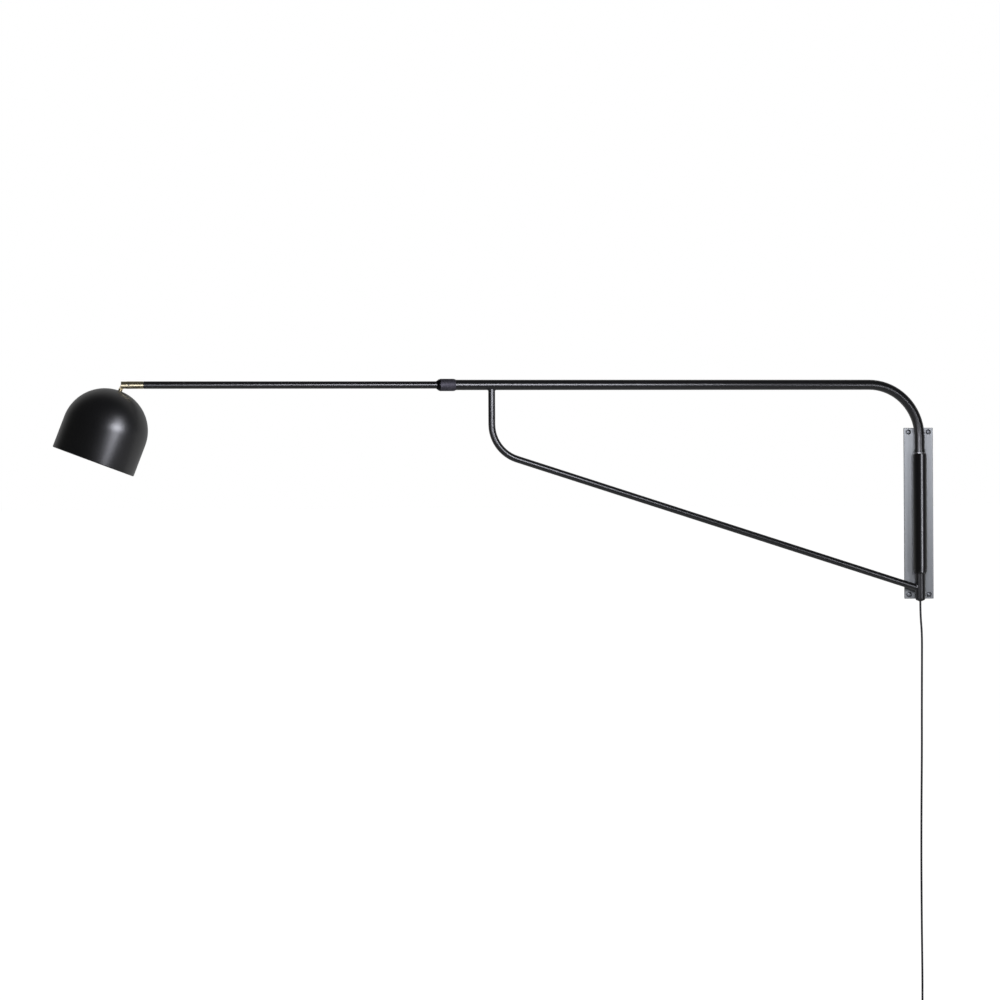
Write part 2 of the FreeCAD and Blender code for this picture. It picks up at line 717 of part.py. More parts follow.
def ferrule():
    """Brass ferrule, bored for the spigot and forked for the knuckle."""
    body = turned(outline([
        (FERRULE_REAR, SPIGOT_RADIUS + RUNNING),
        (FERRULE_REAR, SLIDE_RADIUS - FERRULE_CHAMFER),
        (FERRULE_REAR + FERRULE_CHAMFER, SLIDE_RADIUS),
        (FERRULE_FRONT - FERRULE_CHAMFER, SLIDE_RADIUS),
        (FERRULE_FRONT, SLIDE_RADIUS - FERRULE_CHAMFER),
        (FERRULE_FRONT, 0),
        (FERRULE_FRONT - FORK_SLOT_DEPTH - FORK_FLOOR, 0),
        (FERRULE_FRONT - FORK_SLOT_DEPTH - FORK_FLOOR, SPIGOT_RADIUS + RUNNING),
    ]), on_arm(0), OUT)
    slot = block(V(-FERRULE_FRONT - 1, POST_Y - FORK_SLOT_WIDTH / 2, ARM_HEIGHT - SLIDE_RADIUS),
                 V(-FERRULE_FRONT + FORK_SLOT_DEPTH, POST_Y + FORK_SLOT_WIDTH / 2,
                   ARM_HEIGHT + SLIDE_RADIUS))
    start, inward = swivel_screw_axis()
    screw_hole = rod(SET_SCREW_RADIUS, start - inward, inward, SLIDE_RADIUS - SPIGOT_RADIUS + 1)
    return body.cut([slot, pivot_pin(), screw_hole, bore_mouth()])


def bore_mouth():
    """Opens the spigot's bore into the fork's slot, for the lead."""
    start = on_arm(FERRULE_FRONT - FORK_SLOT_DEPTH - 2 * FORK_FLOOR)
    return rod(SPIGOT_BORE, start, OUT, 3 * FORK_FLOOR)


def swivel_screw():
    """Set screw whose tip runs in the spigot's groove."""
    start, inward = swivel_screw_axis()
    tip = SLIDE_RADIUS - AIR - (SPIGOT_RADIUS - SPIGOT_GROOVE_DEPTH) - SHOULDER_GAP
    screw = rod(SET_SCREW_RADIUS, start, inward, tip)
    return screw.cut(rod(SET_SCREW_RADIUS / 2, start, inward, SET_SCREW_RADIUS / 2))


def pivot_pin():
    half = SLIDE_RADIUS - PIN_INSET
    return rod(PIN_RADIUS, on_arm(PIN_REACH) + FRONT * half, BACK, 2 * half)


# ---------------------------------------------------------------- shade group

def tangent_point(centre, radius, outside, side):
    """Where the line from an outside point touches a circle, on the given side of it."""
    away = outside - centre
    angle = math.acos(radius / away.Length) * side
    turned_away = FreeCAD.Rotation(V(0, 1, 0), math.degrees(angle)).multVec(away.normalize())
    return centre + turned_away * radius


def knuckle():
    """Eye on the pivot pin, cranked web, round neck and a threaded hollow shank."""
    half = KNUCKLE_THICKNESS / 2
    eye = V(0, -half, 0)
    left = V(-KNUCKLE_OFFSET - NECK_RADIUS, -half, -NECK_START)
    right = V(-KNUCKLE_OFFSET + NECK_RADIUS, -half, -NECK_START)
    left_touch = tangent_point(eye, KNUCKLE_EYE, left, 1)
    right_touch = tangent_point(eye, KNUCKLE_EYE, right, -1)
    over_eye = V(0, -half, KNUCKLE_EYE)
    web_outline = [
        line(left, left_touch),
        Part.Arc(left_touch, over_eye, right_touch).toShape(),
        line(right_touch, right),
        line(right, left),
    ]
    web = Part.Face(Part.Wire(web_outline)).extrude(V(0, KNUCKLE_THICKNESS, 0))
    axis_top = V(-KNUCKLE_OFFSET, 0, -NECK_START)
    neck = rod(NECK_RADIUS, axis_top, DOWN, NECK_LENGTH)
    shank = rod(SHANK_RADIUS, axis_top, DOWN, NECK_LENGTH + SHANK_LENGTH)
    pin_hole = rod(PIN_RADIUS + RUNNING, V(0, -half, 0), V(0, 1, 0), KNUCKLE_THICKNESS)
    lead_bore = rod(SHANK_BORE, axis_top + DOWN, DOWN, NECK_LENGTH + SHANK_LENGTH)
    return web.fuse([neck, shank]).cut([pin_hole, lead_bore]).removeSplitter()


def dome_arc(radius, first_radius):
    """Quarter round of the dome from a radius near its top down to the skirt."""
    start = V(SHADE_SPHERE - math.sqrt(radius ** 2 - first_radius ** 2), 0, first_radius)
    share = math.sqrt(0.5) * radius
    return Part.Arc(start, V(SHADE_SPHERE - share, 0, share), V(SHADE_SPHERE, 0, radius)).toShape()


def shade():
    """Spun dome on a straight skirt, with a flat for the knuckle and a turned-in rim."""
    inner = SHADE_RADIUS - SHADE_WALL
    hole = SHANK_RADIUS + SHADE_HOLE_CLEARANCE
    outer_arc = dome_arc(SHADE_RADIUS, SHADE_FLAT_RADIUS)
    inner_flat = math.sqrt(inner ** 2 - (SHADE_SPHERE - WASHER_TOP) ** 2)
    inner_arc = dome_arc(inner, inner_flat)
    lip_start = SHADE_RIM - SHADE_WALL
    return shade_turned([
        line(V(SHADE_TOP, 0, hole), V(SHADE_TOP, 0, SHADE_FLAT_RADIUS)),
        outer_arc,
        line(V(SHADE_SPHERE, 0, SHADE_RADIUS), V(SHADE_RIM, 0, SHADE_RADIUS)),
        line(V(SHADE_RIM, 0, SHADE_RADIUS), V(SHADE_RIM, 0, inner - SHADE_RIM_LIP)),
        line(V(SHADE_RIM, 0, inner - SHADE_RIM_LIP), V(lip_start, 0, inner - SHADE_RIM_LIP)),
        line(V(lip_start, 0, inner - SHADE_RIM_LIP), V(lip_start, 0, inner)),
        line(V(lip_start, 0, inner), V(SHADE_SPHERE, 0, inner)),
        inner_arc,
        line(V(WASHER_TOP, 0, inner_flat), V(WASHER_TOP, 0, hole)),
        line(V(WASHER_TOP, 0, hole), V(SHADE_TOP, 0, hole)),
    ])


def shade_washer():
    start = V(-KNUCKLE_OFFSET, 0, -WASHER_TOP)
    return ring(WASHER_RADIUS, SHANK_RADIUS, start, DOWN, WASHER_THICKNESS)


def shade_nut():
    corner = NUT_ACROSS_FLATS / math.sqrt(3)
    corners = []
    for index in range(6):
        turn = math.radians(60 * index)
        corners.append(V(corner * math.cos(turn) - KNUCKLE_OFFSET, corner * math.sin(turn), -NUT_TOP))
    face = Part.Face(Part.makePolygon(corners + corners[:1]))
    nut = face.extrude(V(0, 0, -NUT_THICKNESS))
    return nut.cut(rod(SHANK_RADIUS, V(-KNUCKLE_OFFSET, 0, -NUT_TOP), DOWN, NUT_THICKNESS))


def holder_cap():
    wall = HOLDER_WALL
    return shade_turned(outline([
        (HOLDER_TOP, SHANK_RADIUS),
        (HOLDER_TOP, HOLDER_CAP_TOP_RADIUS),
        (HOLDER_TOP + HOLDER_CAP_SHOULDER, HOLDER_RADIUS),
        (HOLDER_SEAM, HOLDER_RADIUS),
        (HOLDER_SEAM, HOLDER_RADIUS - wall),
        (HOLDER_TOP + HOLDER_CAP_SHOULDER + wall, HOLDER_RADIUS - wall),
        (HOLDER_TOP + HOLDER_CAP_CROWN, HOLDER_CAP_TOP_RADIUS),
        (HOLDER_TOP + HOLDER_CAP_CROWN, SHANK_RADIUS),
    ]))


def holder_body():
    joint_radius = HOLDER_RADIUS - HOLDER_WALL
    return shade_turned(outline([
        (HOLDER_SEAM - HOLDER_JOINT, 0),
        (HOLDER_SEAM - HOLDER_JOINT, joint_radius),
        (HOLDER_SEAM, joint_radius),
        (HOLDER_SEAM, HOLDER_RADIUS),
        (HOLDER_SEAM + HOLDER_BODY_LENGTH, HOLDER_RADIUS),
        (HOLDER_SEAM + HOLDER_BODY_LENGTH, GLASS_NECK_RADIUS + AIR),
        (SHELL_TOP + SHELL_LENGTH, GLASS_NECK_RADIUS + AIR),
        (SHELL_TOP + SHELL_LENGTH, SHELL_RADIUS),
        (SHELL_TOP, SHELL_RADIUS),
        (SHELL_TOP, 0),
    ]))


def holder_shell():
    start = V(-KNUCKLE_OFFSET, 0, -SHELL_TOP)
    return ring(SHELL_RADIUS, SHELL_RADIUS - SHELL_WALL, start, DOWN, SHELL_LENGTH)


def holder_contact():
    return rod(CONTACT_RADIUS, V(-KNUCKLE_OFFSET, 0, -SHELL_TOP), DOWN, CONTACT_THICKNESS)


def bulb_base():
    """Screw base: tapered end with the contact, and rounded grooves of the thread, as rings."""
    thread_start = CONTACT_FRONT + BASE_TAPER
    edges = []
    here = V(thread_start, 0, BASE_RADIUS)
    for index in range(THREAD_TURNS):
        middle = thread_start + THREAD_PITCH * (index + THREAD_START)
        groove_start = V(middle - THREAD_HALF_WIDTH, 0, BASE_RADIUS)
        groove_end = V(middle + THREAD_HALF_WIDTH, 0, BASE_RADIUS)
        edges.append(line(here, groove_start))
        edges.append(Part.Arc(groove_start, V(middle, 0, BASE_RADIUS - THREAD_DEPTH), groove_end).toShape())
        here = groove_end
    return shade_turned(edges + [
        line(here, V(BASE_FRONT, 0, BASE_RADIUS)),
        line(V(BASE_FRONT, 0, BASE_RADIUS), V(BASE_FRONT, 0, 0)),
        line(V(BASE_FRONT, 0, 0), V(CONTACT_FRONT, 0, 0)),
        line(V(CONTACT_FRONT, 0, 0), V(CONTACT_FRONT, 0, CONTACT_RADIUS)),
        line(V(CONTACT_FRONT, 0, CONTACT_RADIUS), V(thread_start, 0, BASE_RADIUS)),
    ])


def bulb_glass():
    """Hollow envelope: neck on the base, shoulder and round end."""
    neck_end = BASE_FRONT + GLASS_NECK_LENGTH
    centre = neck_end + GLASS_SHOULDER
    edges = []
    for neck, round_end in ((GLASS_NECK_RADIUS, GLASS_RADIUS),
                            (GLASS_NECK_RADIUS - GLASS_WALL, GLASS_RADIUS - GLASS_WALL)):
        bulge = round_end * math.sqrt(0.5)
        shoulder = Part.BezierCurve()
        shoulder.setPoles([V(neck_end, 0, neck), V(neck_end + GLASS_NECK_PULL, 0, neck),
                           V(centre - GLASS_END_PULL, 0, round_end),
                           V(centre, 0, round_end)])
        edges.append(line(V(BASE_FRONT, 0, neck), V(neck_end, 0, neck)))
        edges.append(shoulder.toShape())
        edges.append(Part.Arc(V(centre, 0, round_end), V(centre + bulge, 0, bulge),
                              V(centre + round_end, 0, 0)).toShape())
    tip = centre + GLASS_RADIUS
    edges.append(line(V(tip, 0, 0), V(tip - GLASS_WALL, 0, 0)))
    edges.append(line(V(BASE_FRONT, 0, GLASS_NECK_RADIUS),
                      V(BASE_FRONT, 0, GLASS_NECK_RADIUS - GLASS_WALL)))
    return shade_turned(edges)


# ---------------------------------------------------------------- supply cord

def cord_points():
    """Route of the hanging cord, with the bend that brings it round to the coil."""
    points = [on_post(OUTLET_FACE)]
    for right, down in CORD_ROUTE:
        points.append(V(right, POST_Y, OUTLET_FACE - down))
    first = math.radians(CORD_LAST_TURN)
    for turn in (first, 2 * first):
        step = V(-math.sin(turn), 0, -math.cos(turn)) * CORD_LAST_RUN
        points.append(points[-1] + step)
    return points


def coil_outer_radius():
    turning = 4 * COIL_TURNS_PER_LAYER - COIL_CLIMB_QUARTERS
    return COIL_MID_RADIUS + COIL_PITCH / 4 * turning / 2


def coil_inner_radius():
    return 2 * COIL_MID_RADIUS - coil_outer_radius()


def around(angle):
    """Unit vectors out from the coil's centre and along its turns, at an angle."""
    radians = math.radians(angle)
    outward = V(math.cos(radians), 0, math.sin(radians))
    along = V(-math.sin(radians), 0, math.cos(radians))
    return outward, along


def coil_half_depth():
    """Distance of the first and last layers from the coil's middle."""
    return (COIL_LAYERS - 1) / 2 * COIL_LAYER_PITCH


def coil_centre():
    """The rear layer starts one cord diameter past the end of the hanging cord."""
    outward, along = around(COIL_START_ANGLE)
    start = cord_points()[-1] + along * (2 * CORD_RADIUS)
    return start - outward * coil_outer_radius() + FRONT * coil_half_depth()


def coil_places():
    """Quarter-turn places (angle, radius, depth): the layers spiral in and out again."""
    quarters = 4 * COIL_TURNS_PER_LAYER
    angle = COIL_START_ANGLE
    radius = coil_outer_radius()
    depth = coil_half_depth()
    places = [(angle, radius, depth)]
    for layer in range(COIL_LAYERS):
        growth = COIL_PITCH / 4 * (-1 if layer % 2 == 0 else 1)
        last_layer = layer == COIL_LAYERS - 1
        for quarter in range(quarters):
            climbing = quarter >= quarters - COIL_CLIMB_QUARTERS and not last_layer
            angle += 90
            radius += 0 if climbing else growth
            depth -= COIL_LAYER_PITCH / COIL_CLIMB_QUARTERS if climbing else 0
            places.append((angle, radius, depth))
    rest = (COIL_END_ANGLE - COIL_START_ANGLE) / 90
    places.append((angle + 90 * rest, radius + growth * rest, depth))
    return places


def coil_stations():
    """Points on the coil's centre line with the directions that the turns have there."""
    places = coil_places()
    centre = coil_centre()
    stations = []
    for index, (angle, radius, depth) in enumerate(places):
        outward, along = around(angle)
        direction = along
        if 0 < index < len(places) - 1:
            before, after = places[index - 1], places[index + 1]
            sweep = math.radians(after[0] - before[0]) * radius
            drift = outward * (after[1] - before[1]) + V(0, after[2] - before[2], 0)
            direction = along + drift * (1 / sweep)
        point = centre + outward * radius + V(0, depth, 0)
        stations.append((point, direction.normalize()))
    return stations


def two_arcs(start, leaving, end, arriving):
    """A smooth pair of arcs between two points with given directions."""
    chord = end - start
    both = leaving + arriving
    spread = 2 * (1 - leaving.dot(arriving))
    lean = chord.dot(both)
    reach = (math.sqrt(lean ** 2 + spread * chord.dot(chord)) - lean) / spread
    first_corner = start + leaving * reach
    second_corner = end - arriving * reach
    middle = (first_corner + second_corner) * 0.5
    return [arc(start, first_corner, middle), arc(middle, second_corner, end)]


def coil_path():
    stations = coil_stations()
    first_point, first_direction = stations[0]
    last_point, last_direction = stations[-1]
    straight = 2 * CORD_RADIUS
    edges = [line(first_point - first_direction * straight, first_point)]
    for (start, leaving), (end, arriving) in zip(stations, stations[1:]):
        edges += two_arcs(start, leaving, end, arriving)
    edges.append(line(last_point, last_point + last_direction * straight))
    return Part.Wire(edges)


def least_gap(path):
    """Smallest gap between turns that lie more than half a turn apart along the cord."""
    points = []
    travelled = 0.0
    for edge in path.Edges:
        for point in edge.discretize(Distance=3.0)[:-1]:
            points.append((travelled, point))
        travelled += edge.Length
    apart = math.pi * coil_inner_radius()
    step = travelled / len(points)
    skip = int(apart / step)
    least = travelled
    for index, (_, point) in enumerate(points):
        for _, other in points[index + skip:]:
            least = min(least, point.distanceToPoint(other))
    return least - 2 * CORD_RADIUS


def cord_coil():
    return swept(coil_path(), CORD_RADIUS)


def cord_hanging():
    points = cord_points()
    return swept(rounded_path(points, corner_radii(points)), CORD_RADIUS)


def coil_tie():
    """Flat strap round all the turns at one place of the coil."""
    half_width = TIE_WIDTH / 2
    innermost = coil_inner_radius() - CORD_RADIUS
    inner = math.sqrt(innermost ** 2 - half_width ** 2) - TIE_CLEARANCE
    outer = coil_outer_radius() + COIL_PITCH / 2 + CORD_RADIUS + TIE_CLEARANCE
    half_depth = coil_half_depth() + CORD_RADIUS + TIE_CLEARANCE
    wall = TIE_THICKNESS
    strap = block(V(inner - wall, -half_depth - wall, -half_width),
                  V(outer + wall, half_depth + wall, half_width))
    corners = [edge for edge in strap.Edges if edge.BoundBox.ZLength > half_width]
    strap = strap.makeFillet(2 * wall + TIE_CLEARANCE, corners)
    hollow = block(V(inner, -half_depth, -half_width), V(outer, half_depth, half_width))
    corners = [edge for edge in hollow.Edges if edge.BoundBox.ZLength > half_width]
    hollow = hollow.makeFillet(wall + TIE_CLEARANCE, corners)
    strap = strap.cut(hollow)
    strap = strap.rotated(V(0, 0, 0), V(0, 1, 0), -TIE_ANGLE)
    return strap.translated(coil_centre())


def tail_points():
    last_point, last_direction = coil_stations()[-1]
    start = last_point + last_direction * (2 * CORD_RADIUS)
    return [start] + [start + V(right, 0, -down) for right, down in TAIL_ROUTE]


def cord_tail():
    points = tail_points()
    return swept(rounded_path(points, corner_radii(points)), CORD_RADIUS)


def plug_face():
    """Centre of the plug's front face, which the blades stand out of."""
    return tail_points()[-1] + DOWN * (RELIEF_LENGTH + PLUG_LENGTH)


def plug_body():
    face = plug_face()
    half = V(PLUG_WIDTH / 2, PLUG_BODY_DEPTH / 2, 0)
    body = block(face - half, face + half + V(0, 0, PLUG_LENGTH))
    upright = [edge for edge in body.Edges if edge.BoundBox.ZLength > PLUG_LENGTH / 2]
    body = body.makeFillet(PLUG_ROUNDING, upright)
    top = [edge for edge in body.Edges if edge.BoundBox.ZMin > face.z + PLUG_LENGTH - 0.01]
    body = body.makeFillet(PLUG_ROUNDING - 1, top)
    return body.fuse([plug_relief(face + V(0, 0, PLUG_LENGTH))] + grip_ribs(face)).removeSplitter()


def plug_relief(start):
    """Tapered sleeve for the cord, with grooves that let it bend."""
    relief = Part.makeCone(RELIEF_BASE_RADIUS, RELIEF_TOP_RADIUS, RELIEF_LENGTH, start, UP)
    for index in range(RELIEF_GROOVES):
        low = start + UP * (RELIEF_GROOVE_PITCH * (index + 0.5))
        relief = relief.cut(ring(RELIEF_BASE_RADIUS, RELIEF_CORE_RADIUS, low, UP, RELIEF_GROOVE_WIDTH))
    return relief


def grip_ribs(face):
    """Rounded ribs across both broad sides of the plug, for the fingers."""
    ribs = []
    for side in (-1, 1):
        depth = side * (PLUG_BODY_DEPTH / 2 - GRIP_RIB_RADIUS + GRIP_RIB_RISE)
        for index in range(GRIP_RIBS):
            height = PLUG_LENGTH / 2 + GRIP_RIB_PITCH * (index - (GRIP_RIBS - 1) / 2)
            end = face + V(-GRIP_RIB_LENGTH / 2, depth, height)
            ribs.append(rod(GRIP_RIB_RADIUS, end, V(1, 0, 0), GRIP_RIB_LENGTH))
    return ribs


def plug_blade(side):
    face = plug_face()
    centre = face + V(side * BLADE_SPACING / 2, 0, 0)
    half = V(BLADE_THICKNESS / 2, BLADE_WIDTH / 2, 0)
    blade = block(centre - half - V(0, 0, BLADE_LENGTH), centre + half)
    hole_start = centre + V(-BLADE_THICKNESS, 0, BLADE_HOLE_FROM_TIP - BLADE_LENGTH)
    return blade.cut(rod(BLADE_HOLE_RADIUS, hole_start, V(1, 0, 0), 2 * BLADE_THICKNESS))


# ---------------------------------------------------------------- all sub-parts

def wall_parts():
    parts = {"wall_plate": wall_plate()}
    for index, (x, z) in enumerate(screw_places()):
        parts["wall_screw_%d" % (index + 1)] = wall_screw(x, z)
    parts["bearing_sleeve"] = bearing_sleeve()
    parts["sleeve_weld_left"] = sleeve_weld(-1)
    parts["sleeve_weld_right"] = sleeve_weld(1)
    parts["upper_bush"] = upper_bush()
    parts["lower_bush"] = lower_bush()
    parts["thrust_washer"] = thrust_washer()
    return parts


def arm_parts():
    return {
        "arm_tube": arm_tube(),
        "stop_ring": stop_ring(),
        "brace_tube": brace_tube(),
        "brace_weld_upper": upper_brace_weld(),
        "brace_weld_lower": lower_brace_weld(),
        "post_cap": post_cap(),
        "cap_screw": cap_screw(),
        "cord_outlet": cord_outlet(),
        "arm_lead": arm_lead(),
        "collet": collet(),
        "lock_collar": lock_collar(),
        "slide_tube": slide_tube(),
        "rear_guide": rear_guide(),
        "swivel_plug": swivel_plug(),
        "slide_lead": slide_lead(),
        "ferrule": ferrule(),
        "swivel_screw": swivel_screw(),
        "pivot_pin": pivot_pin(),
    }


def shade_parts():
    return {
        "knuckle": knuckle(),
        "shade": shade(),
        "shade_washer": shade_washer(),
        "shade_nut": shade_nut(),
        "holder_cap": holder_cap(),
        "holder_body": holder_body(),
        "holder_shell": holder_shell(),
        "holder_contact": holder_contact(),
        "bulb_base": bulb_base(),
        "bulb_glass": bulb_glass(),
    }


def cord_parts():
    return {
        "cord_hanging": cord_hanging(),
        "cord_coil": cord_coil(),
        "coil_tie": coil_tie(),
        "cord_tail": cord_tail(),
        "plug_body": plug_body(),
        "plug_blade_1": plug_blade(-1),
        "plug_blade_2": plug_blade(1),
    }


def all_parts():
    parts = wall_parts()
    for name, shape in arm_parts().items():
        parts[name] = swung(shape)
    for name, shape in shade_parts().items():
        parts[name] = tilted(shape)
    parts.update(cord_parts())
    return parts


def report_cord():
    radii = corner_radii(cord_points()) + corner_radii(tail_points())
    print("cord corner radii", [round(radius) for radius in radii])
    coil = coil_path()
    print("coil length %.1f, least gap %.2f" % (coil.Length, least_gap(coil)))
    hanging = rounded_path(cord_points(), corner_radii(cord_points()))
    tail = rounded_path(tail_points(), corner_radii(tail_points()))
    print("hanging %.1f, tail %.1f, cord in all %.1f"
          % (hanging.Length, tail.Length, hanging.Length + coil.Length + tail.Length))


os.makedirs("parts", exist_ok=True)
for node, solid in all_parts().items():
    solid.exportStep("parts/%s.step" % node)
report_cord()
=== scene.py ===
import math

import bmesh
import bpy
from mathutils import Matrix, Vector


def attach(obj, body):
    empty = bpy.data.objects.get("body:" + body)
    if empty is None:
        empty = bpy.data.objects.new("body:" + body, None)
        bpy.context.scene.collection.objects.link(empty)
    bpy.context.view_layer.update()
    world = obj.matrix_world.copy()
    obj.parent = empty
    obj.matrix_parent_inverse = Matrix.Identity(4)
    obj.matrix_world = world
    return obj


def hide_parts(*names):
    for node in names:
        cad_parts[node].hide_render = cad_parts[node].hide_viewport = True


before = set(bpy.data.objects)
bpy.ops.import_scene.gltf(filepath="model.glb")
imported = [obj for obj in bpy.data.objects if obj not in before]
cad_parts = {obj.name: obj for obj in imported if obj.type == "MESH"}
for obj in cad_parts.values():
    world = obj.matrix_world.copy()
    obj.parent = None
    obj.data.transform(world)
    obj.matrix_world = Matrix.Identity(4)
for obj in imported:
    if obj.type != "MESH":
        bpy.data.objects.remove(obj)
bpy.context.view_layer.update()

# ---------------------------------------------------------------- camera
# A long lens level with the lower edge of the arm, a little left of the middle of the lamp,
# with the slight roll of the photograph. The shift puts the lamp where the photograph has it.
CAMERA_ROLL = math.radians(0.3)
camera_data = bpy.data.cameras.new("camera")
camera_data.sensor_width = 36.0
camera_data.lens = 85.14
camera_data.shift_x = 0.0004
camera_data.shift_y = -0.0508
camera = bpy.data.objects.new("camera", camera_data)
camera.location = (-1.005, -5.68, 0.159)
camera.rotation_euler = (math.radians(90), CAMERA_ROLL, 0)
bpy.context.scene.collection.objects.link(camera)
bpy.context.scene.camera = camera
bpy.context.scene.view_settings.view_transform = "Standard"

# ---------------------------------------------------------------- supply cord
# Round two-core lead with a black sheath, 5 mm across. It leaves the outlet at the foot of the
# post, hangs under its own weight, and the length below the photograph is wound into a tied
# coil. The plug hangs on the tail that leaves the coil.
CORD_DIAMETER = 0.005
OUTLET_EXIT = Vector((0, -0.020, -0.2097))
CORD_DROPS = (
    (0.0, 0.0340), (0.0036, 0.0760), (0.0032, 0.1420), (0.0022, 0.2620), (0.0019, 0.3620),
    (0.0002, 0.4820), (-0.0009, 0.6220), (-0.0005, 0.7820), (0.0004, 0.8920), (0.0002, 0.9470),
    (0.0, 0.9850),
)
CORD_LAST_RUN = 0.022
COIL_MID_RADIUS = 0.0275
COIL_PITCH = 0.0062
COIL_LAYERS = 4
COIL_TURNS = 2
COIL_STEPS = 16
COIL_CLIMB = 0.5
COIL_START = math.radians(120)
COIL_END = math.radians(60)
TAIL_DROPS = ((0.0, 0.016), (0.005, 0.036), (0.005, 0.052))

cord_route = [OUTLET_EXIT.copy()]
for right, down in CORD_DROPS:
    cord_route.append(OUTLET_EXIT + Vector((right, 0, -down)))
for turn in (math.radians(30), math.radians(60)):
    cord_route.append(cord_route[-1] + Vector((-math.sin(turn), 0, -math.cos(turn))) * CORD_LAST_RUN)


def coil_directions(angle):
    """Directions out from the coil's middle and along its turns."""
    outward = Vector((math.cos(angle), 0, math.sin(angle)))
    along = Vector((-math.sin(angle), 0, math.cos(angle)))
    return outward, along


# The layers spiral in and out again, and each climbs in the half turn before the next begins.
spiral_turns = COIL_TURNS - COIL_CLIMB
first_radius = COIL_MID_RADIUS + COIL_PITCH * spiral_turns / 2
half_depth = (COIL_LAYERS - 1) / 2 * COIL_PITCH
outward, along = coil_directions(COIL_START)
coil_start = cord_route[-1] + along * CORD_DIAMETER
coil_middle = coil_start - outward * first_radius + Vector((0, -half_depth, 0))
pull_out = 1 / math.cos(math.pi / COIL_STEPS)
radius = first_radius
depth = half_depth
angle = COIL_START
step_angle = 2 * math.pi / COIL_STEPS
for layer in range(COIL_LAYERS):
    growth = COIL_PITCH / COIL_STEPS * (-1 if layer % 2 == 0 else 1)
    last_layer = layer == COIL_LAYERS - 1
    steps = COIL_TURNS * COIL_STEPS
    for step in range(steps):
        climbing = step >= steps - COIL_CLIMB * COIL_STEPS and not last_layer
        outward, along = coil_directions(angle)
        cord_route.append(coil_middle + outward * (radius * pull_out) + Vector((0, depth, 0)))
        angle += step_angle
        if climbing:
            depth -= COIL_PITCH / (COIL_CLIMB * COIL_STEPS)
        else:
            radius += growth
end_angle = angle + COIL_END
while angle < end_angle - step_angle / 2:
    outward, along = coil_directions(angle)
    cord_route.append(coil_middle + outward * (radius * pull_out) + Vector((0, depth, 0)))
    angle += step_angle
    radius += growth
outward, along = coil_directions(end_angle)
coil_end = coil_middle + outward * radius + Vector((0, depth, 0))
cord_route.append(coil_end)
tail_start = coil_end + along * CORD_DIAMETER
for right, down in TAIL_DROPS:
    cord_route.append(tail_start + Vector((right, 0, -down)))

cord_curve = bpy.data.curves.new("supply_cord", "CURVE")
cord_curve.dimensions = "3D"
cord_curve.bevel_depth = CORD_DIAMETER / 2
cord_curve.bevel_resolution = 5
cord_curve.resolution_u = 6
cord_curve.use_fill_caps = True
cord_line = cord_curve.splines.new("NURBS")
cord_line.points.add(len(cord_route) - 1)
for point, place in zip(cord_line.points, cord_route):
    point.co = (*place, 1)
cord_line.order_u = 3
cord_line.use_endpoint_u = True
cord = bpy.data.objects.new("supply_cord", cord_curve)
bpy.context.scene.collection.objects.link(cord)


def new_material(name, colour, roughness, metallic=0.0):
    """A material with a Principled shader, and that shader."""
    material = bpy.data.materials.new(name)
    material.use_nodes = True
    shader = material.node_tree.nodes["Principled BSDF"]
    shader.inputs["Base Color"].default_value = (*colour, 1)
    shader.inputs["Roughness"].default_value = roughness
    shader.inputs["Metallic"].default_value = metallic
    return material, shader


def new_group(name, inputs, outputs):
    """A node group with value or colour sockets, and its input and output nodes."""
    group = bpy.data.node_groups.new(name, "ShaderNodeTree")
    kinds = {"value": "NodeSocketFloat", "colour": "NodeSocketColor", "vector": "NodeSocketVector"}
    for label, kind in inputs:
        group.interface.new_socket(label, in_out="INPUT", socket_type=kinds[kind])
    for label, kind in outputs:
        group.interface.new_socket(label, in_out="OUTPUT", socket_type=kinds[kind])
    return group, group.nodes.new("NodeGroupInput"), group.nodes.new("NodeGroupOutput")


